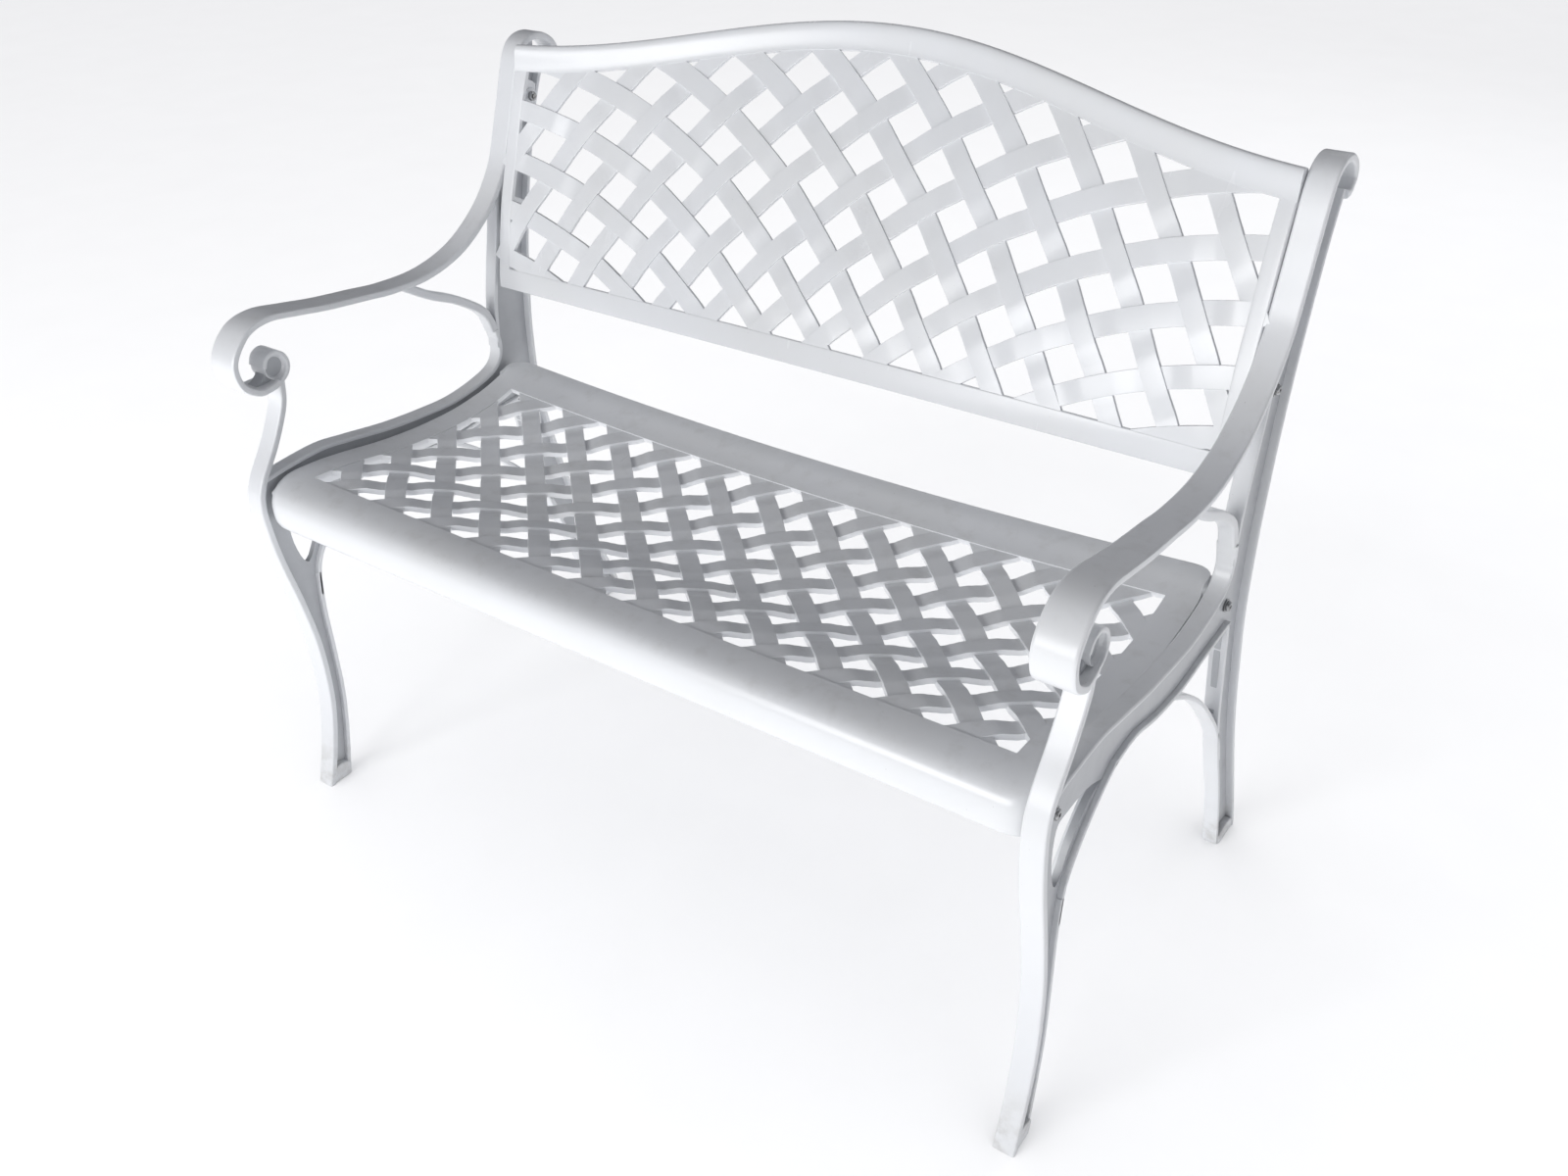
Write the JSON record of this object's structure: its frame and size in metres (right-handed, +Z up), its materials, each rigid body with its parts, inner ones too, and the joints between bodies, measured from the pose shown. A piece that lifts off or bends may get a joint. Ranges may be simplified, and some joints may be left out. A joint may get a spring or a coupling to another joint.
{
  "type": "garden bench",
  "caption": "Two-seat garden bench of white cast metal with scrolled arms, curved legs, a dished woven seat and an arched back woven from crossing arcs.",
  "frame": {"origin": "on the floor, under the middle of the bench's overall box", "axes": "+X along the bench from the sitter's right arm to the left arm, -Y the way a sitter faces, +Z up"},
  "size_m": [1.036, 0.5904, 0.8875],
  "materials": {
    "frame_paint": "white powder coat, satin gloss",
    "seat_paint": "white powder coat, satin gloss",
    "back_paint": "white powder coat, satin gloss",
    "bolt_steel": "dull zinc-plated steel"
  },
  "bodies": {
    "root": {"left_side_frame": "frame_paint", "right_side_frame": "frame_paint", "seat_panel": "seat_paint", "back_panel": "back_paint", "left_seat_front_bolt": "bolt_steel", "left_seat_front_washer": "bolt_steel", "left_seat_front_nut": "bolt_steel", "right_seat_front_bolt": "bolt_steel", "right_seat_front_washer": "bolt_steel", "right_seat_front_nut": "bolt_steel", "left_seat_rear_bolt": "bolt_steel", "left_seat_rear_washer": "bolt_steel", "left_seat_rear_nut": "bolt_steel", "right_seat_rear_bolt": "bolt_steel", "right_seat_rear_washer": "bolt_steel", "right_seat_rear_nut": "bolt_steel", "left_back_lower_bolt": "bolt_steel", "left_back_lower_washer": "bolt_steel", "left_back_lower_nut": "bolt_steel", "right_back_lower_bolt": "bolt_steel", "right_back_lower_washer": "bolt_steel", "right_back_lower_nut": "bolt_steel", "left_back_upper_bolt": "bolt_steel", "left_back_upper_washer": "bolt_steel", "left_back_upper_nut": "bolt_steel", "right_back_upper_bolt": "bolt_steel", "right_back_upper_washer": "bolt_steel", "right_back_upper_nut": "bolt_steel"}
  },
  "joints": []
}
